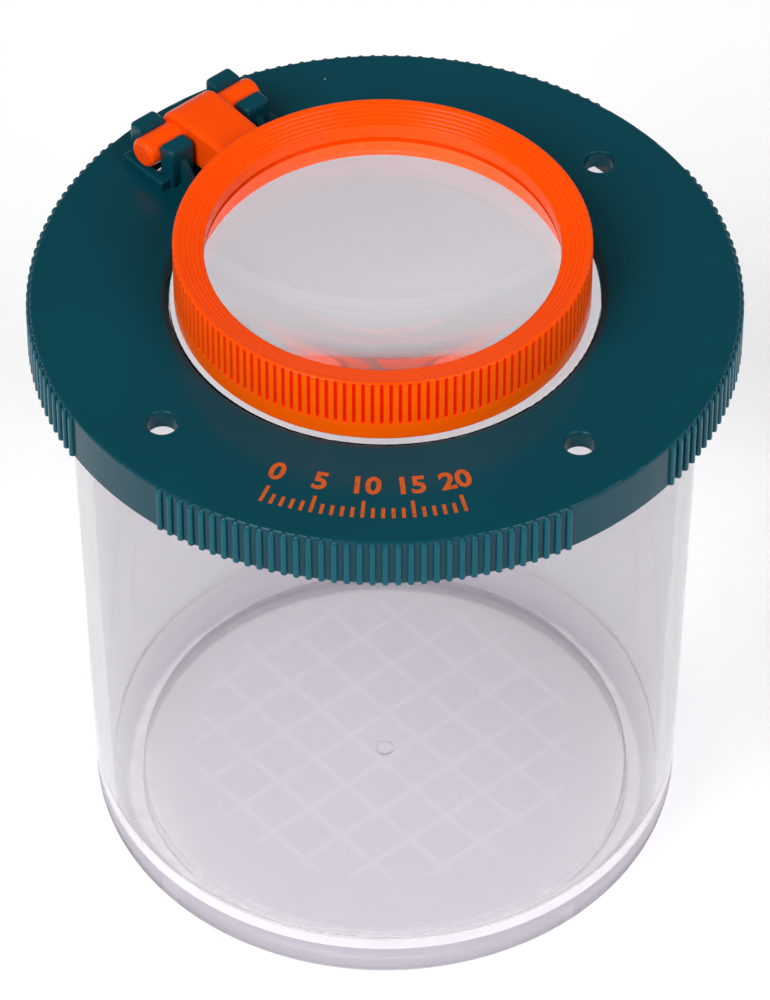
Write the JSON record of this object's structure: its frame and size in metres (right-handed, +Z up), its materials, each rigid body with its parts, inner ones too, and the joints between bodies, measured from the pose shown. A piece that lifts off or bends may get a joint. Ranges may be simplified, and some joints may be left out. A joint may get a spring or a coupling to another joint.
{
  "type": "bug viewer",
  "caption": "Clear specimen jar with a measuring grid in its floor, a vented teal lid with a fixed lens, and a second lens in an orange knurled frame on a snap hinge.",
  "frame": {"origin": "centre of the jar's foot, on the surface it stands on", "axes": "+Z up along the jar's axis, +Y towards the hinge, +X along the hinge pin"},
  "size_m": [0.0698, 0.0698, 0.0758],
  "materials": {
    "clear_plastic": "clear moulded polystyrene, polished",
    "lens_plastic": "clear optical plastic, polished",
    "teal_plastic": "dark teal moulded plastic, satin gloss",
    "orange_plastic": "bright orange moulded plastic, satin gloss"
  },
  "bodies": {
    "container": {"container": "clear_plastic"},
    "lid": {"lid": "teal_plastic", "lid_lens": "lens_plastic"},
    "magnifier": {"lens_frame": "orange_plastic", "swing_lens": "lens_plastic"}
  },
  "joints": [
    {"name": "lid_lift", "type": "slide", "parent": "container", "child": "lid", "axis": [0, 0, 1], "range_m": [0, 0.08]},
    {"name": "lens_swing", "type": "hinge", "parent": "lid", "child": "magnifier", "pos_m": [0, 0.0282, 0.0719], "axis": [-1, 0, 0], "range_deg": [0, 180]}
  ]
}
